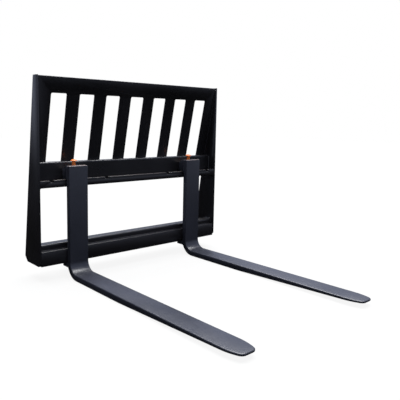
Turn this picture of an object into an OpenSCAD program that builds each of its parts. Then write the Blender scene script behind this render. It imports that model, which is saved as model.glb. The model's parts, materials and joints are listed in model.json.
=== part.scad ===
// Pallet fork attachment for a skid-steer loader: a welded frame with a slotted headboard,
// two fork rails and a coupler hook and lip on its back, and two L-shaped forks that hang on
// the rails, slide along them and lock with a sprung pin each.
//
// The forks point along -Y, the loader is on the +Y side and +Z is up. Left and right are as
// seen from in front of the fork tips. The origin is on the ground, in the middle of the
// whole footprint. Inside the modules Y = 0 is the front face of the two fork rails.

/* [Frame] */
// Overall width over the two side plates
frame_w = 1156; // [900:4:1500]
// Height of the side plates
plate_h = 888; // [720:2:1100]
// Thickness of each side plate
plate_t = 10; // [8:1:14]
// Depth of a side plate at its top edge
plate_top_d = 37; // [32:1:60]
// Depth of a side plate just above its lower back corner
plate_bottom_d = 160; // [138:1:220]
// Size of the cut-off lower back corner of a side plate
plate_corner_cut = 25; // [10:1:40]
// Size of the cut-off lower front corner of a side plate
plate_toe_cut = 14; // [4:1:30]
// Height of the frame's lower edge above the ground
ground_gap = 73; // [60:1:110]

/* [Headboard] */
// Forward lean of the headboard, in degrees
headboard_tilt = 12; // [5:0.5:12.5]
// Thickness of the headboard plate
headboard_t = 6; // [5:0.5:9]
// How far the headboard's top edge stays below the top of the side plates
headboard_drop = 3; // [0:1:12]
// Width of each sight slot
slot_w = 82; // [40:1:90]
// Width of the web between two sight slots
slot_web = 70; // [40:1:100]
// Least solid margin between the outermost slot and the side plate
slot_end_margin = 60; // [40:1:90]
// Solid strip left above the sight slots, along the slope
slot_top_strip = 76; // [40:1:90]
// How far the slots run down behind the upper cross tube
slot_run_down = 12; // [6:1:20]
// Corner radius of the sight slots
slot_corner_r = 7; // [3:1:12]

/* [Cross tubes] */
// Height of the upper cross tube
upper_tube_h = 100; // [80:1:120]
// Depth of the upper cross tube
upper_tube_d = 38; // [35:1:45]
// Distance of the upper cross tube's face behind the rail face
upper_tube_setback = 47; // [45:1:58]
// Height of the lower cross tube
lower_tube_h = 69; // [56:1:90]
// Depth of the lower cross tube
lower_tube_d = 56; // [44:1:68]
// Wall thickness of both cross tubes
tube_wall = 4; // [3:0.5:8]
// Outer corner radius of both cross tubes
tube_corner_r = 8; // [6:1:10]

/* [Fork rails] */
// Height from the lower rail's bottom edge to the upper rail's top edge
carriage_h = 406.4; // [338:0.2:490]
// Thickness of the upright lip that the forks hang on
lip_t = 16; // [13:0.5:18]
// Rise of the upright lip above the rail's flat leg
lip_rise = 17.4; // [14:0.2:22]
// Thickness of the upper rail's flat leg
rail_leg_t = 17; // [12:0.5:20]
// Height of the lower rail bar
lower_rail_h = 70; // [58:1:84]
// Thickness of the lower rail bar
lower_rail_t = 20; // [16:1:24]
// Width of a locking notch in the upright lip
notch_w = 20; // [19:0.5:24]
// Depth of a locking notch
notch_depth = 11; // [9:0.5:13]
// Distance of the first locking notch from the middle of the frame
notch_first = 203.2; // [160:0.2:250]
// Distance from one locking notch to the next
notch_pitch = 152.4; // [100:0.2:200]
// Least distance of the last notch from the side plate
notch_end_margin = 50; // [40:1:70]

/* [Coupler] */
// Drop of the coupler hook's root below the top of the upper cross tube
hook_drop = 34; // [20:1:44]
// Length of the sloping coupler hook, along its slope
hook_len = 52; // [40:1:60]
// Angle between the coupler hook and the upright, in degrees
hook_angle = 40; // [30:1:50]
// Thickness of the coupler hook
hook_t = 10; // [8:1:12]
// Gap between each end of the coupler hook and the side plate
hook_end_gap = 20; // [10:1:40]
// Thickness of the coupler lip
coupler_lip_t = 10; // [8:1:12]
// Distance of the coupler lip's back edge behind the rail face
coupler_lip_reach = 152; // [130:1:172]
// Width of each wedge slot in the coupler lip
wedge_slot_w = 33; // [26:1:40]
// Length of each wedge slot, end to end
wedge_slot_len = 64; // [50:1:80]
// Distance of a wedge slot's middle from the side plate's inner face
wedge_slot_inset = 118; // [80:1:150]
// Distance of the wedge slots' middle line in front of the lip's back edge
wedge_slot_edge = 32; // [26:1:38]
// Thickness of each gusset under the coupler lip
gusset_t = 10; // [6:1:12]
// Depth of each gusset at its front edge
gusset_h = 18; // [12:1:20]

/* [Forks] */
// Width of each fork
fork_w = 101.6; // [80:0.2:130]
// Thickness of the fork bar in the shank and at the heel
fork_t = 30; // [25:1:46]
// Length of the blade in front of the shank
blade_len = 1067; // [850:1:1300]
// Distance between the middles of the two forks
fork_spread = 750; // [400:2:800]
// Distance of the pair of forks from the middle of the frame, to the right
fork_offset = -9; // [-40:1:40]
// Rise of the shank's top above the upper rail
shank_rise = 66; // [56:1:80]
// Outer radius of the heel bend
heel_r = 80; // [66:1:96]
// Length of full-thickness blade in front of the shank
blade_flat = 400; // [300:10:600]
// Thickness of the blade's tip
tip_t = 10; // [8:1:20]
// Length over which the blade narrows to its tip
tip_len = 85; // [60:5:200]
// How far each side has narrowed at the tip
tip_inset = 18; // [10:1:26]
// Radius of the tip's rounded corners, seen from above
nose_r = 24; // [14:1:36]
// Reach of the top hook behind the shank
top_hook_reach = 39; // [34:1:44]
// Fall of the top hook's upper face from front to back
top_hook_fall = 16; // [8:1:22]
// Reach of the bottom hook behind the shank
bottom_hook_reach = 42; // [38:1:46]
// Thickness of the bottom hook under the lower rail
bottom_hook_t = 22; // [16:1:26]
// Height of the bottom hook's nib above the lower rail's bottom edge
nib_rise = 14; // [8:1:16]

/* [Lock pins] */
// Diameter of the lock pin
pin_d = 17; // [12:0.5:18]
// Distance of the lock pin's axis behind the rail face
pin_setback = 8; // [7:0.5:9]
// Distance of the lock pin's axis from the middle of its fork, to the right
pin_offset = -5; // [-24:1:24]
// Length of pin that shows above the hook when the pin rides on the lip
pin_show = 25; // [20:1:40]
// Diameter of the pin's knob
knob_d = 31; // [24:1:36]
// Height of the pin's domed knob
knob_t = 8; // [6:1:10]
// Thickness of the knob at its rim
knob_rim = 3; // [2:0.5:4]
// Wire diameter of the pin's spring
spring_wire = 2; // [1.5:0.1:2.2]
// Number of turns in the pin's spring
spring_turns = 4.5; // [3:0.5:5]

/* [Clearances] */
// Gap between the shank's back and the rail faces
shank_gap = 1.5; // [1:0.1:3]
// Gap between a fork hook and the rail edge it hangs on
hang_gap = 0.5; // [0.3:0.1:1.5]
// Gap between a fork hook's tooth or nib and the rail's back
tooth_gap = 1.5; // [1:0.1:2.5]
// Radial gap between the lock pin and the holes that guide it
pin_gap = 0.1; // [0.05:0.01:0.3]
// Radial gap between the pin's spring and its chamber
spring_gap = 0.6; // [0.4:0.1:1]

/* [Hidden] */
$fn = 64;

PAINT = "#1b1c20";
FORK_PAINT = "#24262c";
PIN_PAINT = "#d8672a";
ZINC = "#b8bcc0";
SPRING_STEEL = "#8d9298";

// Widths
inner_w = frame_w - 2 * plate_t;
hook_w = inner_w - 2 * hook_end_gap;
slot_pitch = slot_w + slot_web;
slot_count = floor((inner_w - 2 * slot_end_margin + slot_web) / slot_pitch);
notches_per_side = floor((inner_w / 2 - notch_end_margin - notch_first) / notch_pitch) + 1;
wedge_slot_x = inner_w / 2 - wedge_slot_inset;

// Heights above the ground
rail_bottom = ground_gap;
rail_top = rail_bottom + carriage_h;
flat_leg_top = rail_top - lip_rise;
upper_tube_top = flat_leg_top + upper_tube_h;
plate_top = ground_gap + plate_h;
coupler_lip_bottom = rail_bottom + nib_rise + 6;
coupler_lip_top = coupler_lip_bottom + coupler_lip_t;
hook_root = upper_tube_top - hook_drop;
shank_top = rail_top + shank_rise;
hook_seat = rail_top + hang_gap;
tooth_bottom = flat_leg_top + tooth_gap;

// Depths behind the rail face
upper_tube_back = upper_tube_setback + upper_tube_d;
headboard_back = upper_tube_back + headboard_t;
lower_tube_back = lower_rail_t + lower_tube_d;
shank_back = -shank_gap;
shank_front = shank_back - fork_t;
heel_y = shank_back - heel_r;
tip_y = shank_front - blade_len;
top_hook_back = shank_back + top_hook_reach;
bottom_hook_back = shank_back + bottom_hook_reach;

// The rail face sits so that the whole footprint is centred on Y = 0
rail_face_y = -(tip_y + plate_bottom_d) / 2;

// Headboard slope
slope_len = (plate_top - headboard_drop - upper_tube_top) / cos(headboard_tilt);

// Lock pin heights, with the pin riding on the lip
pin_bottom = rail_top + hang_gap;
guide_len = 7;
chamber_bottom = hook_seat + guide_len;
collar_t = 3;
collar_bottom = chamber_bottom + notch_depth;
bush_len = 14;
bush_top = shank_top - (pin_setback + shank_gap) * top_hook_fall / top_hook_reach;
bush_bottom = bush_top - bush_len;
knob_bottom = bush_top + pin_show;
pin_r = pin_d / 2;
guide_r = pin_r + pin_gap;
coil_r = pin_r + spring_gap + spring_wire / 2;
chamber_r = coil_r + spring_wire / 2 + spring_gap;
thread_r = pin_r - 2.5;

// ---- helpers ----

// Puts Y = 0 of the drawing at the rail face
module at_rail() {
    translate([0, rail_face_y, 0])
        children();
}

// A side profile drawn as (Y, Z), made w wide and centred on X = 0
module across(w) {
    translate([-w / 2, 0, 0])
        rotate([90, 0, 90])
            linear_extrude(w)
                children();
}

// A rectangle from corner a to corner b with rounded corners
module rounded_rect(a, b, r) {
    translate([a[0] + r, a[1]])
        square([b[0] - a[0] - 2 * r, b[1] - a[1]]);
    translate([a[0], a[1] + r])
        square([b[0] - a[0], b[1] - a[1] - 2 * r]);
    for (x = [a[0] + r, b[0] - r], y = [a[1] + r, b[1] - r])
        translate([x, y])
            circle(r);
}

// A plain rectangle from corner a to corner b
module rect(a, b) {
    translate(a)
        square(b - a);
}

// A rectangular tube profile
module tube_profile(a, b) {
    difference() {
        rounded_rect(a, b, tube_corner_r);
        rounded_rect(
            a + [tube_wall, tube_wall],
            b - [tube_wall, tube_wall],
            max(tube_corner_r - tube_wall, 1)
        );
    }
}

// ---- frame ----

module side_plate(side) {
    color(PAINT)
        at_rail()
            translate([side * (frame_w - plate_t) / 2, 0, 0])
                across(plate_t)
                    polygon([
                        [0, ground_gap + plate_toe_cut],
                        [plate_toe_cut, ground_gap],
                        [plate_bottom_d - plate_corner_cut, ground_gap],
                        [plate_bottom_d, ground_gap + plate_corner_cut],
                        [plate_top_d, plate_top],
                        [0, plate_top]
                    ]);
}

// The headboard leans forward above the cross tube and has an upright flange on its back
module headboard() {
    lean = [-sin(headboard_tilt), cos(headboard_tilt)];
    across_lean = [cos(headboard_tilt), sin(headboard_tilt)];
    bend = [upper_tube_back, upper_tube_top];
    top_front = bend + slope_len * lean;
    color(PAINT)
        at_rail()
            difference() {
                across(inner_w)
                    polygon([
                        [upper_tube_back, flat_leg_top],
                        [headboard_back, flat_leg_top],
                        [headboard_back, upper_tube_top + headboard_t * tan(headboard_tilt / 2)],
                        top_front + headboard_t * across_lean,
                        top_front,
                        bend
                    ]);
                translate([0, upper_tube_back, upper_tube_top])
                    rotate([headboard_tilt, 0, 0])
                        sight_slots();
            }
}

module sight_slots() {
    translate([0, 2 * headboard_t, 0])
        rotate([90, 0, 0])
            linear_extrude(4 * headboard_t)
                for (i = [0 : slot_count - 1]) {
                    x = (i - (slot_count - 1) / 2) * slot_pitch;
                    rounded_rect(
                        [x - slot_w / 2, -slot_run_down],
                        [x + slot_w / 2, slope_len - slot_top_strip],
                        slot_corner_r
                    );
                }
}

module upper_cross_tube() {
    color(PAINT)
        at_rail()
            across(inner_w)
                tube_profile([upper_tube_setback, flat_leg_top], [upper_tube_back, upper_tube_top]);
}

// An angle bar: the forks hang on its upright lip and its flat leg carries the cross tube
module upper_fork_rail() {
    color(PAINT)
        at_rail()
            difference() {
                across(inner_w)
                    polygon([
                        [0, flat_leg_top - rail_leg_t],
                        [headboard_back, flat_leg_top - rail_leg_t],
                        [headboard_back, flat_leg_top],
                        [lip_t, flat_leg_top],
                        [lip_t, rail_top],
                        [0, rail_top]
                    ]);
                for (side = [-1, 1], i = [0 : notches_per_side - 1])
                    translate([side * (notch_first + i * notch_pitch), 0, rail_top])
                        locking_notch();
            }
}

module locking_notch() {
    corner_r = 3;
    translate([0, lip_t + 1, 0])
        rotate([90, 0, 0])
            linear_extrude(lip_t + 2)
                rounded_rect([-notch_w / 2, -notch_depth], [notch_w / 2, notch_depth], corner_r);
}

module lower_fork_rail() {
    color(PAINT)
        at_rail()
            across(inner_w)
                rect([0, rail_bottom], [lower_rail_t, rail_bottom + lower_rail_h]);
}

module lower_cross_tube() {
    color(PAINT)
        at_rail()
            across(inner_w)
                tube_profile(
                    [lower_rail_t, coupler_lip_top],
                    [lower_tube_back, coupler_lip_top + lower_tube_h]
                );
}

// The sloping hook that the loader's coupler lifts into
module coupler_hook() {
    down = [sin(hook_angle), -cos(hook_angle)];
    root = [headboard_back, hook_root];
    root_drop = hook_t / sin(hook_angle);
    color(PAINT)
        at_rail()
            across(hook_w)
                polygon([
                    root,
                    root + hook_len * down,
                    root + hook_len * down - hook_t * [cos(hook_angle), sin(hook_angle)],
                    root - [0, root_drop]
                ]);
}

// The flat lip that the coupler's wedges lock through
module coupler_lip() {
    color(PAINT)
        at_rail()
            difference() {
                across(inner_w)
                    rect([lower_rail_t, coupler_lip_bottom], [coupler_lip_reach, coupler_lip_top]);
                for (side = [-1, 1])
                    translate([side * wedge_slot_x, coupler_lip_reach - wedge_slot_edge, coupler_lip_bottom - 1])
                        linear_extrude(coupler_lip_t + 2)
                            wedge_slot();
            }
}

module wedge_slot() {
    end_x = (wedge_slot_len - wedge_slot_w) / 2;
    square([2 * end_x, wedge_slot_w], center = true);
    for (x = [-end_x, end_x])
        translate([x, 0])
            circle(d = wedge_slot_w);
}

// A three-cornered rib under the coupler lip, clear of the forks' bottom hooks
module lip_gusset(side) {
    front_y = bottom_hook_back + 10;
    color(PAINT)
        at_rail()
            translate([side * inner_w / 4, 0, 0])
                across(gusset_t)
                    polygon([
                        [front_y, coupler_lip_bottom],
                        [front_y, coupler_lip_bottom - gusset_h],
                        [front_y + gusset_h, coupler_lip_bottom - gusset_h],
                        [coupler_lip_reach - 8, coupler_lip_bottom - 4],
                        [coupler_lip_reach - 8, coupler_lip_bottom]
                    ]);
}

// ---- forks ----

// Puts the drawing on the middle line of the left (-1) or right (1) fork
module at_fork(side) {
    at_rail()
        translate([fork_offset + side * fork_spread / 2, 0, 0])
            children();
}

// The L-shaped bar: its side profile cut to the outline of its tip. The spring chamber is
// bored through the finished fork, so it also cuts a shallow groove in the shank's back.
module fork_bar(side) {
    color(FORK_PAINT)
        at_fork(side)
            difference() {
                intersection() {
                    across(fork_w)
                        fork_profile();
                    translate([0, 0, -1])
                        linear_extrude(shank_top + 2)
                            fork_plan();
                }
                pin_bore();
            }
}

module fork_profile() {
    rect([shank_front, heel_r], [shank_back, shank_top]);
    intersection() {
        rect([heel_y, 0], [shank_back, heel_r]);
        difference() {
            heel_circle();
            translate([heel_y, heel_r])
                circle(heel_r - fork_t);
        }
    }
    polygon([
        [heel_y, 0],
        [heel_y, fork_t],
        [tip_y, fork_t],
        [tip_y, fork_t - tip_t],
        [shank_front - blade_flat, 0]
    ]);
}

module heel_circle() {
    translate([heel_y, heel_r])
        circle(heel_r);
}

// The blade from above: a long arc brings each side in and a short one rounds each corner
module fork_plan() {
    side_r = (pow(tip_len, 2) + pow(tip_inset, 2)) / (2 * tip_inset);
    neck_y = tip_y + tip_len;
    corner_y = tip_y + nose_r;
    turn = asin((neck_y - corner_y) / (side_r - nose_r));
    corner_x = fork_w / 2 - side_r + (side_r - nose_r) * cos(turn);
    rect([-fork_w / 2, neck_y], [fork_w / 2, 0]);
    rect([-corner_x, tip_y], [corner_x, neck_y]);
    for (side = [-1, 1])
        translate([side * corner_x, corner_y])
            circle(nose_r);
    intersection() {
        translate([fork_w / 2 - side_r, neck_y])
            circle(side_r);
        translate([side_r - fork_w / 2, neck_y])
            circle(side_r);
        rect([-fork_w / 2, corner_y - nose_r * sin(turn)], [fork_w / 2, neck_y]);
    }
}

// The bore for the lock pin and, above it, the chamber for its spring and bush
module pin_bore() {
    translate([pin_offset, pin_setback, hook_seat - 1]) {
        cylinder(r = guide_r, h = guide_len + 2);
        translate([0, 0, guide_len + 1])
            cylinder(r = chamber_r, h = shank_rise);
    }
}

// The top hook: a block behind the shank with a tooth that drops behind the rail's lip
module top_hook(side) {
    color(FORK_PAINT)
        at_fork(side)
            difference() {
                across(fork_w)
                    polygon([
                        [shank_back, hook_seat],
                        [lip_t + tooth_gap, hook_seat],
                        [lip_t + tooth_gap, tooth_bottom],
                        [top_hook_back, tooth_bottom],
                        [top_hook_back, shank_top - top_hook_fall],
                        [shank_back, shank_top]
                    ]);
                pin_bore();
            }
}

// The bottom hook: a bracket that passes under the lower rail and rises behind it
module bottom_hook(side) {
    base_top = rail_bottom - hang_gap;
    color(FORK_PAINT)
        at_fork(side)
            across(fork_w)
                difference() {
                    polygon([
                        [shank_front, base_top - bottom_hook_t],
                        [bottom_hook_back, base_top - bottom_hook_t],
                        [bottom_hook_back, rail_bottom + nib_rise],
                        [lower_rail_t + tooth_gap, rail_bottom + nib_rise],
                        [lower_rail_t + tooth_gap, base_top],
                        [shank_front, base_top]
                    ]);
                    heel_circle();
                }
}

// ---- lock pins ----

module at_pin(side, z) {
    at_fork(side)
        translate([pin_offset, pin_setback, z])
            children();
}

module lock_pin(side) {
    chamfer = 2;
    color(PIN_PAINT)
        at_pin(side, pin_bottom) {
            cylinder(r1 = pin_r - chamfer, r2 = pin_r, h = chamfer);
            translate([0, 0, chamfer])
                cylinder(r = pin_r, h = knob_bottom - pin_bottom - chamfer);
            cylinder(r = thread_r, h = knob_bottom - pin_bottom + knob_t - 1);
        }
}

module pin_knob(side) {
    color(PIN_PAINT)
        at_pin(side, knob_bottom)
            rotate_extrude()
                knob_profile();
}

// Half section of the domed mushroom knob, with a rounded rim and a hole for the pin's end
module knob_profile() {
    rim_r = knob_rim / 2;
    crown = knob_t - knob_rim;
    crown_edge = knob_d / 2 - rim_r;
    crown_r = (crown_edge * crown_edge + crown * crown) / (2 * crown);
    difference() {
        union() {
            rect([0, 0], [crown_edge, knob_rim]);
            translate([crown_edge, rim_r])
                circle(rim_r);
            intersection() {
                translate([0, knob_t - crown_r])
                    circle(crown_r);
                rect([0, rim_r], [crown_edge, knob_t]);
            }
        }
        rect([-1, -1], [thread_r, knob_t + 1]);
    }
}

// The ring on the pin that the spring pushes down
module pin_collar(side) {
    color(ZINC)
        at_pin(side, collar_bottom)
            difference() {
                cylinder(r = chamber_r - spring_gap / 2, h = collar_t);
                translate([0, 0, -1])
                    cylinder(r = pin_r, h = collar_t + 2);
            }
}

// The threaded bush that closes the spring chamber and guides the pin's stem
module pin_bush(side) {
    color(ZINC)
        at_pin(side, bush_bottom)
            difference() {
                cylinder(r = chamber_r, h = bush_len);
                translate([0, 0, -1])
                    cylinder(r = guide_r, h = bush_len + 2);
            }
}

// The spring: a round wire swept along a helix between the collar and the bush
module lock_spring(side) {
    bottom = collar_bottom + collar_t + spring_wire / 2;
    top = bush_bottom - spring_wire / 2;
    steps = 16 * spring_turns;
    sides = 8;
    rise = (top - bottom) / steps;
    points = [
        for (i = [0 : steps], j = [0 : sides - 1])
            let (a = 360 * i / 16, b = 360 * j / sides, r = coil_r + spring_wire / 2 * cos(b))
                [r * cos(a), r * sin(a), i * rise + spring_wire / 2 * sin(b)]
    ];
    walls = [
        for (i = [0 : steps - 1], j = [0 : sides - 1])
            let (k = (j + 1) % sides)
                [i * sides + j, (i + 1) * sides + j, (i + 1) * sides + k, i * sides + k]
    ];
    start_cap = [[for (j = [0 : sides - 1]) j]];
    end_cap = [[for (j = [sides - 1 : -1 : 0]) steps * sides + j]];
    color(SPRING_STEEL)
        at_pin(side, bottom)
            polyhedron(points, concat(walls, start_cap, end_cap));
}

// ---- the nodes ----

side_plate(-1);  // side_plate_left
side_plate(1);  // side_plate_right
headboard();
upper_cross_tube();
upper_fork_rail();
lower_cross_tube();
lower_fork_rail();
coupler_hook();
coupler_lip();
lip_gusset(-1);  // lip_gusset_left
lip_gusset(0);  // lip_gusset_centre
lip_gusset(1);  // lip_gusset_right
fork_bar(-1);  // fork_bar_left
top_hook(-1);  // top_hook_left
bottom_hook(-1);  // bottom_hook_left
lock_pin(-1);  // lock_pin_left
pin_knob(-1);  // pin_knob_left
pin_collar(-1);  // pin_collar_left
lock_spring(-1);  // lock_spring_left
pin_bush(-1);  // pin_bush_left
fork_bar(1);  // fork_bar_right
top_hook(1);  // top_hook_right
bottom_hook(1);  // bottom_hook_right
lock_pin(1);  // lock_pin_right
pin_knob(1);  // pin_knob_right
pin_collar(1);  // pin_collar_right
lock_spring(1);  // lock_spring_right
pin_bush(1);  // pin_bush_right
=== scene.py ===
# %% [markdown]
# # Finishing a pallet fork attachment
#
# A skid-steer loader carries this attachment on its front. The welded frame has a slotted
# headboard that holds the load back, and two rails that the L-shaped forks hang on. The model
# of its structure is already made and loaded here as a fixed frame. This lesson gives it what a
# maker's eye looks for: rounded plate edges, weld beads, satin black paint that is rubbed on its
# corners, dusty where it faces up, and bright orange lock pins.

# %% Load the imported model
import json
import math

import bpy
from mathutils import Matrix, Quaternion, Vector


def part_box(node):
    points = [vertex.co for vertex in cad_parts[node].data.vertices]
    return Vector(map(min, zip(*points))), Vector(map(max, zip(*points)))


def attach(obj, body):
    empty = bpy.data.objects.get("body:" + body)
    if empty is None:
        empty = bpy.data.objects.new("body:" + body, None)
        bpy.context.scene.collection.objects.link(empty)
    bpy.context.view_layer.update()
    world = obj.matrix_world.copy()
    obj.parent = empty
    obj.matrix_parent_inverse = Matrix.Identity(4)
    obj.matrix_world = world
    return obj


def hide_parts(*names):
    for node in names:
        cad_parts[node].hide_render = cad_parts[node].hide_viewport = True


MM = 0.001
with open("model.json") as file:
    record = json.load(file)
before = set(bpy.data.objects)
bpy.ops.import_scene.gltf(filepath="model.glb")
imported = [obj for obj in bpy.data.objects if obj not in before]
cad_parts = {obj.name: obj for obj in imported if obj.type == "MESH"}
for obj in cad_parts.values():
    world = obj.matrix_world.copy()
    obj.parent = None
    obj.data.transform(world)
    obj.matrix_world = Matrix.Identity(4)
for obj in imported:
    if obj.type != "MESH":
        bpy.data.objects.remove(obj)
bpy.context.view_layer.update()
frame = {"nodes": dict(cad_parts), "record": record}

# %% [markdown]
# The places of new pieces come from the boxes of the frame's nodes, so they follow the model
# when a size changes. The rails' front face is the plane that most of them are measured from.

# %% Measure the frame
SIDES = ("left", "right")
rail_low, rail_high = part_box("lower_fork_rail")
lip_low, lip_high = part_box("upper_fork_rail")
tube_low, tube_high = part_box("upper_cross_tube")
low_tube_low, low_tube_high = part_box("lower_cross_tube")
board_low, board_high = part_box("headboard")
shelf_low, shelf_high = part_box("coupler_lip")
hook_low, hook_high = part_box("coupler_hook")
rail_face = rail_low.y
print("rail face at", round(rail_face, 4), "m, rails", round(lip_high.z - rail_low.z, 4), "m apart")

# %% [markdown]
# The camera stands low, in front and to the left, about as high as the top of the forks'
# shanks. Its place is given from the rails' face and the ground, and it looks along a heading
# with a slight roll. The shift slides the picture in its frame without turning the view.

# %% Camera
CAMERA_PLACE = Vector((-1.547, rail_face - 2.041, 0.747))
HEADING = math.radians(-39.18)
LOOKS_DOWN = math.radians(6.99)
ROLL = math.radians(0.65)
LENS = 43.55
SHIFT = (0.11, -0.042)

camera_data = bpy.data.cameras.new("camera")
camera_data.lens = LENS
camera_data.shift_x, camera_data.shift_y = SHIFT
camera = bpy.data.objects.new("camera", camera_data)
bpy.context.scene.collection.objects.link(camera)
bpy.context.scene.camera = camera
look = Vector((
    -math.sin(HEADING) * math.cos(LOOKS_DOWN),
    math.cos(HEADING) * math.cos(LOOKS_DOWN),
    -math.sin(LOOKS_DOWN),
))
camera.location = CAMERA_PLACE
camera.rotation_mode = "QUATERNION"
camera.rotation_quaternion = look.to_track_quat("-Z", "Y") @ Quaternion((0, 0, 1), ROLL)
print("camera looks along", [round(v, 3) for v in look])

# %% [markdown]
# Black paint shows its surroundings more than its own colour, so the room matters as much as
# the paint. A wide soft light hangs straight above: faces that look up turn pale grey, while
# upright faces stay black. The sky is bright above the horizon and dark below it. It has one
# strength for mirror reflections and another for soft light, because satin paint mirrors
# strongly at a flat angle, and a sky bright enough for one would be too bright for the other.

# %% Stage helpers
def node_in(tree, kind, **settings):
    """A new node, with its properties set by name."""
    node = tree.nodes.new(kind)
    for name, value in settings.items():
        setattr(node, name, value)
    return node


def link(tree, source, target):
    tree.links.new(source, target)


def ramp_stops(ramp, stops):
    """Gives a colour ramp these (position, grey or colour) stops."""
    elements = ramp.color_ramp.elements
    while len(elements) > 1:
        elements.remove(elements[-1])
    for i, (position, value) in enumerate(stops):
        element = elements[0] if i == 0 else elements.new(position)
        element.position = position
        colour = (value,) * 3 if isinstance(value, (int, float)) else value
        element.color = (*colour, 1)


# %% Room light
SKY_MIRRORED = [
    (0.00, 0.01), (0.38, 0.01), (0.48, (0.02, 0.022, 0.03)), (0.51, (0.14, 0.15, 0.19)),
    (0.57, (0.50, 0.55, 0.70)), (0.65, (0.40, 0.45, 0.62)), (1.00, (0.38, 0.42, 0.60)),
]
SKY_SOFT = [(0.00, 0.05), (0.48, 0.06), (0.58, (0.30, 0.32, 0.37)), (1.00, (0.55, 0.58, 0.70))]
LAMP_SPREAD = math.radians(55)
LAMP_STRENGTH = 10
LAMP_LEAN = math.radians(8)
world = bpy.data.worlds.new("studio")
bpy.context.scene.world = world
world.use_nodes = True
tree = world.node_tree
tree.nodes.clear()
direction = node_in(tree, "ShaderNodeTexCoord")
split = node_in(tree, "ShaderNodeSeparateXYZ")
height = node_in(tree, "ShaderNodeMapRange")
height.inputs["From Min"].default_value = -1
link(tree, direction.outputs["Generated"], split.inputs[0])
link(tree, split.outputs["Z"], height.inputs["Value"])
ray = node_in(tree, "ShaderNodeLightPath")
seen = node_in(tree, "ShaderNodeBackground")
seen.inputs["Color"].default_value = (1, 1, 1, 1)
for stops, kind in ((SKY_SOFT, "Is Diffuse Ray"), (SKY_MIRRORED, "Is Glossy Ray")):
    sky = node_in(tree, "ShaderNodeValToRGB")
    ramp_stops(sky, stops)
    link(tree, height.outputs[0], sky.inputs[0])
    light = node_in(tree, "ShaderNodeBackground")
    link(tree, sky.outputs[0], light.inputs["Color"])
    mix = node_in(tree, "ShaderNodeMixShader")
    link(tree, ray.outputs[kind], mix.inputs[0])
    link(tree, seen.outputs[0], mix.inputs[1])
    link(tree, light.outputs[0], mix.inputs[2])
    seen = mix
out = node_in(tree, "ShaderNodeOutputWorld")
link(tree, seen.outputs[0], out.inputs[0])

lamp_data = bpy.data.lights.new("overhead", "SUN")
lamp_data.angle = LAMP_SPREAD
lamp_data.energy = LAMP_STRENGTH
lamp = bpy.data.objects.new("overhead", lamp_data)
bpy.context.scene.collection.objects.link(lamp)
lamp.rotation_euler = (-LAMP_LEAN, LAMP_LEAN, 0)
bpy.context.scene.view_settings.view_transform = "Standard"
print("room: one wide soft lamp overhead and a plain sky")

# %% Floor
FLOOR_SIZE = 40
FLOOR_DROP = 0.6 * MM
bpy.ops.object.select_all(action="DESELECT")
bpy.ops.mesh.primitive_plane_add(size=FLOOR_SIZE, location=(0, 0, -FLOOR_DROP))
floor = bpy.context.object
floor.name = "floor"
floor.visible_glossy = False
floor.visible_diffuse = False
floor_paint = bpy.data.materials.new("pale_floor")
floor_paint.use_nodes = True
floor_shader = floor_paint.node_tree.nodes["Principled BSDF"]
floor_shader.inputs["Base Color"].default_value = (0.035, 0.035, 0.035, 1)
floor_shader.inputs["Emission Color"].default_value = (1, 1, 1, 1)
floor_shader.inputs["Emission Strength"].default_value = 0.90
floor_shader.inputs["Roughness"].default_value = 1
floor_shader.inputs["Specular IOR Level"].default_value = 0
floor.data.materials.append(floor_paint)
print("floor", floor.dimensions.x, "m square")

# %% [markdown]
# Five effects appear in more than one paint: the fine orange peel of a sprayed coat, wear along
# edges, dust that settles on faces that look up, a lighter band on top faces between two heights
# that is a painted highlight and sky reflection (on the lip it also stands for rubbed paint),
# and rubbing marks along a blade. Each is a node group with named sockets, built once and given
# its own values in every paint. Each reads Object coordinates, so its grain has a real size in
# metres and stays put on its piece.

# %% Node group helpers
def new_group(name, inputs, outputs):
    """A shader node group with float sockets: inputs is {name: default}, outputs a list."""
    group = bpy.data.node_groups.new(name, "ShaderNodeTree")
    for label, default in inputs.items():
        socket = group.interface.new_socket(label, in_out="INPUT", socket_type="NodeSocketFloat")
        socket.default_value = default
    for label in outputs:
        group.interface.new_socket(label, in_out="OUTPUT", socket_type="NodeSocketFloat")
    return group, node_in(group, "NodeGroupInput"), node_in(group, "NodeGroupOutput")


def noise_in(tree, scale, detail=3.0, stretch=None, roughness=0.55):
    """Noise on Object coordinates. scale is a number or a socket, in cells per metre."""
    place = node_in(tree, "ShaderNodeTexCoord")
    noise = node_in(tree, "ShaderNodeTexNoise")
    noise.inputs["Detail"].default_value = detail
    noise.inputs["Roughness"].default_value = roughness
    source = place.outputs["Object"]
    if stretch:
        mapping = node_in(tree, "ShaderNodeMapping")
        mapping.inputs["Scale"].default_value = stretch
        link(tree, source, mapping.inputs["Vector"])
        source = mapping.outputs["Vector"]
    link(tree, source, noise.inputs["Vector"])
    if isinstance(scale, (int, float)):
        noise.inputs["Scale"].default_value = scale
    else:
        link(tree, scale, noise.inputs["Scale"])
    return noise.outputs["Fac"]


def math_in(tree, operation, a, b=None, clamp=False):
    """A Math node. a and b are numbers or sockets."""
    node = node_in(tree, "ShaderNodeMath", operation=operation, use_clamp=clamp)
    for socket, value in zip(node.inputs, (a, b)):
        if value is None:
            continue
        if isinstance(value, (int, float)):
            socket.default_value = value
        else:
            link(tree, value, socket)
    return node.outputs[0]


def step_in(tree, value, low, high):
    """0 below low, 1 above high, and smooth between them."""
    node = node_in(tree, "ShaderNodeMapRange", interpolation_type="SMOOTHSTEP")
    link(tree, value, node.inputs["Value"])
    for label, edge in (("From Min", low), ("From Max", high)):
        if isinstance(edge, (int, float)):
            node.inputs[label].default_value = edge
        else:
            link(tree, edge, node.inputs[label])
    return node.outputs[0]


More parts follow.
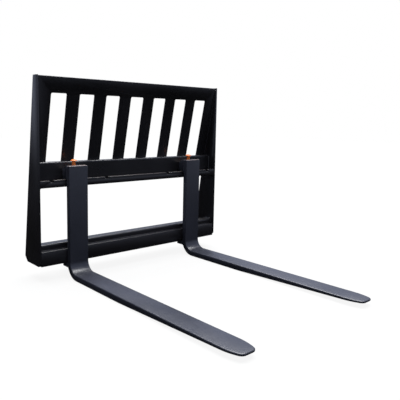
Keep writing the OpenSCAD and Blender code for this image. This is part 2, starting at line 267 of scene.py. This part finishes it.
# %% The orange peel group
def make_orange_peel():
    """Height of a sprayed coat: fine peel on a slow wave."""
    group, given, made = new_group("orange_peel", {"Cells per metre": 700.0}, ["Height"])
    fine = noise_in(group, given.outputs["Cells per metre"], detail=1.5)
    slow = noise_in(group, 55.0, detail=2.0)
    total = math_in(group, "ADD", fine, math_in(group, "MULTIPLY", slow, 1.6))
    link(group, total, made.inputs["Height"])
    return group


# %% The edge wear group
def make_edge_wear():
    """1 where paint has rubbed off an edge: a rounded normal that differs from the true one,
    broken up by noise."""
    group, given, made = new_group(
        "edge_wear", {"Reach": 0.003, "Amount": 0.5, "Patches per metre": 40.0}, ["Mask"])
    rounded = node_in(group, "ShaderNodeBevel", samples=4)
    link(group, given.outputs["Reach"], rounded.inputs["Radius"])
    true = node_in(group, "ShaderNodeNewGeometry")
    dot = node_in(group, "ShaderNodeVectorMath", operation="DOT_PRODUCT")
    link(group, rounded.outputs[0], dot.inputs[0])
    link(group, true.outputs["Normal"], dot.inputs[1])
    bent = math_in(group, "SUBTRACT", 1.0, dot.outputs["Value"], clamp=True)
    edge = step_in(group, bent, 0.02, 0.22)
    patches = noise_in(group, given.outputs["Patches per metre"], detail=6.0, roughness=0.7)
    low = math_in(group, "SUBTRACT", 0.86, math_in(group, "MULTIPLY", given.outputs["Amount"], 0.6))
    broken = step_in(group, patches, low, math_in(group, "ADD", low, 0.12))
    link(group, math_in(group, "MULTIPLY", edge, broken), made.inputs["Mask"])
    return group


# %% The dust group
def make_dust():
    """1 where dust lies: on faces that look up, thicker in soft patches."""
    group, given, made = new_group("dust", {"Amount": 0.3, "Patches per metre": 9.0}, ["Mask"])
    surface = node_in(group, "ShaderNodeNewGeometry")
    parts = node_in(group, "ShaderNodeSeparateXYZ")
    link(group, surface.outputs["Normal"], parts.inputs[0])
    up = step_in(group, parts.outputs["Z"], 0.25, 0.95)
    patches = noise_in(group, given.outputs["Patches per metre"], detail=7.0, roughness=0.65)
    soft = step_in(group, patches, 0.30, 0.72)
    grains = step_in(group, noise_in(group, 520.0, detail=2.0), 0.35, 0.75)
    speckle = math_in(group, "ADD", 0.55, math_in(group, "MULTIPLY", grains, 0.45))
    cover = math_in(group, "MULTIPLY", soft, speckle)
    mask = math_in(group, "MULTIPLY", math_in(group, "MULTIPLY", up, cover), given.outputs["Amount"])
    link(group, mask, made.inputs["Mask"])
    return group


# %% The top band group: rubbed paint and a painted sheen on tops
def make_bare_and_sheen_top():
    """1 on faces that look up, in patches, between two heights: a lighter band that paints a
    highlight and sky reflection onto the tops, and on the rail's lip also stands for rubbed paint.
    """
    group, given, made = new_group(
        "bare_and_sheen_top", {"Lowest": 0.0, "Highest": 1.0, "Amount": 0.8}, ["Mask"])
    surface = node_in(group, "ShaderNodeNewGeometry")
    facing = node_in(group, "ShaderNodeSeparateXYZ")
    link(group, surface.outputs["Normal"], facing.inputs[0])
    place = node_in(group, "ShaderNodeTexCoord")
    at = node_in(group, "ShaderNodeSeparateXYZ")
    link(group, place.outputs["Object"], at.inputs[0])
    # Only faces that look up get the band: a painted highlight and reflection of the light above.
    up = step_in(group, facing.outputs["Z"], 0.45, 0.9)
    above = math_in(group, "GREATER_THAN", at.outputs["Z"], given.outputs["Lowest"])
    below = math_in(group, "LESS_THAN", at.outputs["Z"], given.outputs["Highest"])
    patches = step_in(group, noise_in(group, 28.0, detail=6.0, roughness=0.7), 0.36, 0.52)
    here = math_in(group, "MULTIPLY", above, below)
    mask = math_in(group, "MULTIPLY", math_in(group, "MULTIPLY", up, patches), here)
    link(group, math_in(group, "MULTIPLY", mask, given.outputs["Amount"]), made.inputs["Mask"])
    return group


# %% The rubbing group
def make_rubbing():
    """Long faint marks along Y, as a load leaves when it slides on and off a blade."""
    group, given, made = new_group("rubbing", {"Amount": 0.5}, ["Mask"])
    streaks = noise_in(group, 1.0, detail=5.0, stretch=(260.0, 5.0, 120.0), roughness=0.6)
    zones = noise_in(group, 4.0, detail=3.0)
    marks = math_in(
        group, "MULTIPLY", step_in(group, streaks, 0.50, 0.78), step_in(group, zones, 0.38, 0.70))
    link(group, math_in(group, "MULTIPLY", marks, given.outputs["Amount"]), made.inputs["Mask"])
    return group


GROUPS = {
    "orange_peel": make_orange_peel(),
    "edge_wear": make_edge_wear(),
    "dust": make_dust(),
    "bare_and_sheen_top": make_bare_and_sheen_top(),
    "rubbing": make_rubbing(),
}
print("groups:", ", ".join(GROUPS))

# %% [markdown]
# A paint is layered as on the real thing: the coat's own colour with a slow drift, then rubbing
# marks, bare metal where edges have worn through, and dust on top. Each layer is a mask that
# mixes in its own colour and roughness. The Principled shader stays in the material itself.

# %% Material helpers
def effect(tree, name, **values):
    """One of the node groups, with its inputs set by name. Returns its first output."""
    node = node_in(tree, "ShaderNodeGroup", node_tree=GROUPS[name])
    for label, value in values.items():
        node.inputs[label.replace("_", " ")].default_value = value
    return node.outputs[0]


def blend_colour(tree, mask, below, above):
    """above over below, where mask is 1. Each is a colour or a socket."""
    node = node_in(tree, "ShaderNodeMix", data_type="RGBA")
    link(tree, mask, node.inputs[0])
    for socket, value in ((node.inputs[6], below), (node.inputs[7], above)):
        if isinstance(value, tuple):
            socket.default_value = (*value, 1)
        else:
            link(tree, value, socket)
    return node.outputs[2]


def blend_value(tree, mask, below, above):
    """The same for a number."""
    node = node_in(tree, "ShaderNodeMix")
    link(tree, mask, node.inputs[0])
    for socket, value in ((node.inputs[2], below), (node.inputs[3], above)):
        if isinstance(value, (int, float)):
            socket.default_value = value
        else:
            link(tree, value, socket)
    return node.outputs[0]


def new_material(name):
    """(material, its node tree, its Principled shader)"""
    material = bpy.data.materials.new(name)
    material.use_nodes = True
    tree = material.node_tree
    return material, tree, tree.nodes["Principled BSDF"]


def add_bump(tree, shader, height, strength, distance):
    bump = node_in(tree, "ShaderNodeBump")
    bump.inputs["Strength"].default_value = strength
    bump.inputs["Distance"].default_value = distance
    link(tree, height, bump.inputs["Height"])
    link(tree, bump.outputs[0], shader.inputs["Normal"])


DUST = (0.055, 0.051, 0.046)
BARE = (0.060, 0.062, 0.066)
WORN_ROUGHNESS = 0.42
TOP_BAND_ROUGHNESS = 0.45
DUST_ROUGHNESS = 0.85
PEEL_DEPTH = 0.4 * MM


def paint(name, dark, light, gloss, wear, dust, rub=0.0, peel=0.35, bare=BARE, top=None):
    """A sprayed coat. dark and light are the two ends of its slow colour drift, gloss its
    roughness, and wear, dust and rub say how much of each has happened to it. top is the lowest
    and highest place of a lighter band on the tops, and its colour: a painted highlight and
    reflection, which on the lip also stands for rubbed paint."""
    material, tree, shader = new_material(name)
    drift = step_in(tree, noise_in(tree, 3.5, detail=4.0), 0.3, 0.7)
    colour = blend_colour(tree, drift, dark, light)
    rough = blend_value(tree, drift, gloss - 0.03, gloss + 0.05)
    if rub:
        marks = effect(tree, "rubbing", Amount=rub)
        colour = blend_colour(tree, marks, colour, tuple(min(1.0, 2.6 * v) for v in light))
        rough = blend_value(tree, marks, rough, gloss - 0.08)
    worn = effect(tree, "edge_wear", Amount=wear)
    colour = blend_colour(tree, worn, colour, bare)
    rough = blend_value(tree, worn, rough, WORN_ROUGHNESS)
    # A lighter band on the tops between two heights: painted highlight and reflection, on the lip
    # also rubbed paint.
    if top:
        worn_and_lit_top = effect(tree, "bare_and_sheen_top", Lowest=top[0], Highest=top[1], Amount=0.85)
        colour = blend_colour(tree, worn_and_lit_top, colour, top[2])
        rough = blend_value(tree, worn_and_lit_top, rough, TOP_BAND_ROUGHNESS)
    dusty = effect(tree, "dust", Amount=dust)
    colour = blend_colour(tree, dusty, colour, DUST)
    rough = blend_value(tree, dusty, rough, DUST_ROUGHNESS)
    link(tree, colour, shader.inputs["Base Color"])
    link(tree, rough, shader.inputs["Roughness"])
    add_bump(tree, shader, effect(tree, "orange_peel"), peel, PEEL_DEPTH)
    return material


# %% The paints
# The lip's top band is paint rubbed bare by the hooks, and also a painted highlight line along the
# lip's top.
LIP_WEAR_AND_HIGHLIGHT = (lip_high.z - 3 * MM, lip_high.z + 3 * MM, (0.045, 0.034, 0.030))
# The shanks' top band is a painted reflection: a pale pink-tan tint for the sky and the orange pins
# mirrored in the top faces.
SHANK_TOP_REFLECTION = (lip_high.z + 40 * MM, lip_high.z + 90 * MM, (0.15, 0.115, 0.105))
frame_paint = paint(
    "frame_paint", (0.0060, 0.0060, 0.0075), (0.0095, 0.0090, 0.0115), 0.30, 0.30, 0.20,
    top=LIP_WEAR_AND_HIGHLIGHT)
fork_paint = paint(
    "fork_paint", (0.0145, 0.0162, 0.0238), (0.0178, 0.0197, 0.0296), 0.34, 0.45, 0.10, rub=0.30,
    top=SHANK_TOP_REFLECTION)
pin_paint = paint(
    "pin_paint", (0.80, 0.19, 0.03), (0.94, 0.27, 0.06), 0.30, 0.35, 0.10, bare=(0.45, 0.38, 0.33))
print("paints made:", frame_paint.name, fork_paint.name, pin_paint.name)

# %% [markdown]
# The collar and bush are zinc plated, and the spring is oiled spring steel. They sit inside the
# top hook, where little of them shows, but they get the metal they are made of: a metallic base
# with a fine spangle in its roughness.

# %% Zinc plate and spring steel
SPANGLE_DEPTH = 0.2 * MM


def plated(name, colour, gloss):
    material, tree, shader = new_material(name)
    shader.inputs["Metallic"].default_value = 1.0
    spangle = noise_in(tree, 900.0, detail=4.0)
    cloud = step_in(tree, noise_in(tree, 90.0, detail=3.0), 0.3, 0.7)
    tint = blend_colour(tree, cloud, colour, tuple(0.82 * v for v in colour))
    link(tree, tint, shader.inputs["Base Color"])
    link(tree, blend_value(tree, spangle, gloss - 0.08, gloss + 0.12), shader.inputs["Roughness"])
    add_bump(tree, shader, spangle, 0.15, SPANGLE_DEPTH)
    return material


zinc = plated("zinc_plate", (0.62, 0.63, 0.65), 0.32)
spring_steel = plated("spring_steel", (0.36, 0.37, 0.39), 0.36)
FINISHES = {
    "frame_paint": frame_paint, "fork_paint": fork_paint, "pin_paint": pin_paint,
    "zinc_plate": zinc, "spring_steel": spring_steel,
}
print("finishes:", ", ".join(FINISHES))

# %% [markdown]
# No steel plate has a knife edge. A sawn or sheared edge is dressed with a grinder to about a
# millimetre, and a rolled fork bar has round corners of several. That thin round edge catches a
# line of light, and it is most of what makes a metal model look real. A bump can't do it, so
# each plate here is a copy of its node with its loose triangles merged and its sharp edges
# bevelled. The copy stands for the node, and the frame itself stays as it is.

# %% Helpers for rounded copies
def select_only(obj):
    bpy.ops.object.select_all(action="DESELECT")
    obj.hide_set(False)
    obj.select_set(True)
    bpy.context.view_layer.objects.active = obj


def merged_copy(node, name):
    """A copy of a CAD node's mesh with its corners joined and its flat faces whole."""
    copy = bpy.data.objects.new(name, frame["nodes"][node].data.copy())
    bpy.context.scene.collection.objects.link(copy)
    select_only(copy)
    bpy.ops.object.mode_set(mode="EDIT")
    bpy.ops.mesh.select_all(action="SELECT")
    bpy.ops.mesh.remove_doubles(threshold=0.00001)
    bpy.ops.mesh.dissolve_limited(angle_limit=math.radians(0.5))
    bpy.ops.object.mode_set(mode="OBJECT")
    return copy


def round_edges(obj, radius, segments=2, sharper_than=35):
    """Rounds the edges that turn by more than sharper_than degrees."""
    select_only(obj)
    bevel = obj.modifiers.new("round", "BEVEL")
    bevel.width = radius
    bevel.segments = segments
    bevel.limit_method = "ANGLE"
    bevel.angle_limit = math.radians(sharper_than)
    bevel.use_clamp_overlap = False
    bpy.ops.object.modifier_apply(modifier=bevel.name)
    bpy.ops.object.shade_smooth_by_angle(angle=math.radians(32))


def finish_piece(obj, material, body, slot, *stands_for):
    """Paints a piece, lets it ride on its body and hides the nodes it stands for."""
    obj.data.materials.clear()
    obj.data.materials.append(material)
    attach(obj, body)
    if stands_for:
        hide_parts(*stands_for)


def rounded_piece(node, name, body, slot, radius, segments=2):
    piece = merged_copy(node, name)
    round_edges(piece, radius, segments)
    finish_piece(piece, FINISHES[slot], body, slot, node)
    print(name, len(piece.data.polygons), "faces")
    return piece


# %% Frame plates, rails and tubes
PLATE_EDGE = 1.2 * MM
RAIL_EDGE = 1.6 * MM
BOARD_EDGE = 0.9 * MM
GUSSET_EDGE = 0.8 * MM
for node, name, edge in (
    ("side_plate_left", "dressed_side_plate_left", PLATE_EDGE),
    ("side_plate_right", "dressed_side_plate_right", PLATE_EDGE),
    ("headboard", "dressed_headboard", BOARD_EDGE),
    ("upper_fork_rail", "dressed_upper_rail", RAIL_EDGE),
    ("lower_fork_rail", "dressed_lower_rail", RAIL_EDGE),
    ("coupler_hook", "dressed_coupler_hook", PLATE_EDGE),
    ("coupler_lip", "dressed_coupler_lip", PLATE_EDGE),
    ("lip_gusset_left", "dressed_gusset_left", GUSSET_EDGE),
    ("lip_gusset_centre", "dressed_gusset_centre", GUSSET_EDGE),
    ("lip_gusset_right", "dressed_gusset_right", GUSSET_EDGE),
):
    rounded_piece(node, name, "frame", "frame_paint", edge)

# %% [markdown]
# A fork starts as a rolled flat bar, so its corners are round all along, and round like that
# through the forged heel. The hooks are flame cut from plate and welded on, with smaller edges.

# %% Forks and their hooks
BAR_EDGE = 4.0 * MM
HOOK_EDGE = 1.5 * MM
for side in SIDES:
    body = f"fork_{side}"
    rounded_piece(f"fork_bar_{side}", f"rolled_fork_{side}", body, "fork_paint", BAR_EDGE, 3)
    rounded_piece(f"top_hook_{side}", f"cut_top_hook_{side}", body, "fork_paint", HOOK_EDGE)
    rounded_piece(f"bottom_hook_{side}", f"cut_bottom_hook_{side}", body, "fork_paint", HOOK_EDGE)

# %% Finishes on the nodes that stay
SLOTS = {p["node"]: p["material_slot"] for p in frame["record"]["subparts"]}
for node in (n for nodes in frame["record"]["behaviour"]["bodies"].values() for n in nodes):
    obj = frame["nodes"][node]
    if obj.hide_render:
        continue
    slot = SLOTS[node]
    obj.data.materials.clear()
    obj.data.materials.append(FINISHES[slot])
    print(node, "->", slot)

# %% [markdown]
# Everything in the frame is welded. A bead laid by hand is a row of overlapping ripples, each a
# small tilted crescent. One ripple is modelled here: a tilted ring of points, drawn out a little
# and widened, then drawn out and narrowed again. An Array repeats it to the length of the seam,
# and its open ends are filled, so every bead is a closed shape.

# %% The weld bead
RIPPLE = 5.0 * MM
RIPPLE_TILT = math.radians(28)
SWELL = 1.16
RISE = 0.62


def weld_bead(start, end, facing, radius):
    """A bead from start to end. facing is the way its crown looks."""
    start, end = Vector(start), Vector(end)
    along = (end - start).normalized()
    crown = (Vector(facing) - Vector(facing).project(along)).normalized()
    count = max(2, round((end - start).length / RIPPLE))
    pitch = (end - start).length / count
    bpy.ops.object.select_all(action="DESELECT")
    bpy.ops.mesh.primitive_circle_add(
        vertices=10, radius=radius, rotation=(0, math.radians(90) - RIPPLE_TILT, 0))
    bead = bpy.context.object
    bpy.ops.object.transform_apply(location=True, rotation=True, scale=True)
    bpy.ops.object.mode_set(mode="EDIT")
    bpy.ops.mesh.select_all(action="SELECT")
    for share, swell in ((RISE, SWELL), (1 - RISE, 1 / SWELL)):
        bpy.ops.mesh.extrude_region_move(TRANSFORM_OT_translate={"value": (share * pitch, 0, 0)})
        bpy.ops.transform.resize(value=(1, swell, swell))
    bpy.ops.object.mode_set(mode="OBJECT")
    row = bead.modifiers.new("row", "ARRAY")
    row.count = count
    row.use_relative_offset = False
    row.use_constant_offset = True
    row.constant_offset_displace = (pitch, 0, 0)
    row.use_merge_vertices = True
    row.merge_threshold = 0.0001
    bpy.ops.object.modifier_apply(modifier=row.name)
    bpy.ops.object.mode_set(mode="EDIT")
    bpy.ops.mesh.select_all(action="DESELECT")
    bpy.ops.mesh.select_mode(type="EDGE")
    bpy.ops.mesh.select_non_manifold(extend=False)
    bpy.ops.mesh.fill_holes(sides=0)
    bpy.ops.mesh.select_all(action="SELECT")
    bpy.ops.mesh.normals_make_consistent(inside=False)
    bpy.ops.object.mode_set(mode="OBJECT")
    bpy.ops.object.shade_smooth_by_angle(angle=math.radians(60))
    turned = Matrix((along, crown.cross(along), crown)).transposed().to_4x4()
    bead.matrix_world = Matrix.Translation(start) @ turned
    bpy.ops.object.transform_apply(location=True, rotation=True, scale=True)
    return bead


def join_beads(name, beads, material, body, slot):
    """One piece from all the beads of a body."""
    bpy.ops.object.select_all(action="DESELECT")
    for bead in beads:
        bead.select_set(True)
    bpy.context.view_layer.objects.active = beads[0]
    bpy.ops.object.join()
    beads[0].name = name
    finish_piece(beads[0], material, body, slot)
    print(name, len(beads), "beads,", len(beads[0].data.polygons), "faces")


# %% [markdown]
# Fillet welds fill the inner corners of the frame: where the headboard and the rails meet the
# side plates, where the cross tubes sit on the rails, and where the coupler hook and lip are
# fixed to the back. Long seams on thin plate are stitched, with gaps, so the plate stays flat.

# %% Frame welds
FILLET = 4.5 * MM
SEAM_END = 8 * MM
beads = []
left_wall, right_wall = rail_low.x, rail_high.x
tube_top, tube_back = tube_high.z, tube_high.y
board_top = Vector((0, board_low.y, board_high.z))
board_foot = Vector((0, tube_back, tube_top))
board_thick = board_high.y - tube_back
slope = (board_top - board_foot).normalized()
outward = Vector((0, slope.z, -slope.y))
for wall, inward in ((left_wall, 1), (right_wall, -1)):
    into = Vector((inward, 0, 0))
    at_wall = Vector((wall, 0, 0))
    front = (at_wall + board_foot + 6 * MM * slope, at_wall + board_top - 10 * MM * slope)
    beads.append(weld_bead(*front, into - outward, FILLET))
    back = [p + board_thick * outward for p in front]
    beads.append(weld_bead(*back, into + outward, FILLET))
    for y, z0, z1 in (
        (tube_low.y, tube_low.z + SEAM_END, tube_high.z - 6 * MM),
        (low_tube_high.y, low_tube_low.z + SEAM_END, low_tube_high.z - SEAM_END),
        (low_tube_low.y, rail_high.z + 5 * MM, low_tube_high.z - SEAM_END),
    ):
        way = -1 if y < low_tube_high.y else 1
        beads.append(weld_bead((wall, y, z0), (wall, y, z1), (inward, way, 0), FILLET))
    for y0, y1, z in (
        (tube_low.y + SEAM_END, tube_high.y - SEAM_END, tube_high.z),
        (low_tube_low.y + SEAM_END, low_tube_high.y - SEAM_END, low_tube_high.z),
        (low_tube_high.y + 5 * MM, shelf_high.y - 4 * MM, shelf_high.z),
        (rail_face + 4 * MM, board_high.y - 2 * MM, lip_low.z),
    ):
        way = -1 if z == lip_low.z else 1
        beads.append(weld_bead((wall, y0, z), (wall, y1, z), (inward, 0, way), FILLET))
print(len(beads), "beads at the side plates")

# %% Long seams on the frame
SEAM = 4.0 * MM
STITCH = 60 * MM
STITCH_PITCH = 2.1 * STITCH
seams = [
    (tube_low.y, tube_low.z, (0, -1, 1)),
    (low_tube_low.y, rail_high.z, (0, -1, 1)),
    (low_tube_high.y, shelf_high.z, (0, 1, 1)),
    (rail_high.y, shelf_low.z, (0, 1, -1)),
]
for y, z, facing in seams:
    start, end = (left_wall + 6 * MM, y, z), (right_wall - 6 * MM, y, z)
    beads.append(weld_bead(start, end, facing, SEAM))
stitches = [(board_high.y, hook_high.z, (0, 1, 1)), (tube_high.y, board_low.z, (0, 1, -1))]
for y, z, facing in stitches:
    x = hook_low.x + 12 * MM
    while x + STITCH < hook_high.x:
        beads.append(weld_bead((x, y, z), (x + STITCH, y, z), facing, SEAM))
        x += STITCH_PITCH
join_beads("frame_welds", beads, frame_paint, "frame", "frame_paint")

# %% [markdown]
# Each top hook is welded down both sides of its shank, where bar and hook meet flush. That bead
# is kept low, about a millimetre proud, so that a fork can slide up to a side plate. The bottom
# hook has one bead underneath, in the corner that the round heel leaves.

# %% Fork welds
SIDE_BEAD = 2.4 * MM
SIDE_INSET = 1.6 * MM
END_GAP = 5 * MM
for side in SIDES:
    bar_low, bar_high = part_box(f"fork_bar_{side}")
    _, top_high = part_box(f"top_hook_{side}")
    foot_low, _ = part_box(f"bottom_hook_{side}")
    seam_y = bar_high.y
    beads = []
    for x, way in ((bar_low.x, -1), (bar_high.x, 1)):
        x -= way * SIDE_INSET
        start, end = (x, seam_y, lip_high.z + 3 * MM), (x, seam_y, top_high.z - END_GAP)
        beads.append(weld_bead(start, end, (way, 0, 0), SIDE_BEAD))
    start = (bar_low.x + END_GAP, seam_y - END_GAP, foot_low.z)
    end = (bar_high.x - END_GAP, seam_y - END_GAP, foot_low.z)
    beads.append(weld_bead(start, end, (0, 1, -1), SEAM))
    join_beads(f"fork_welds_{side}", beads, fork_paint, f"fork_{side}", "fork_paint")
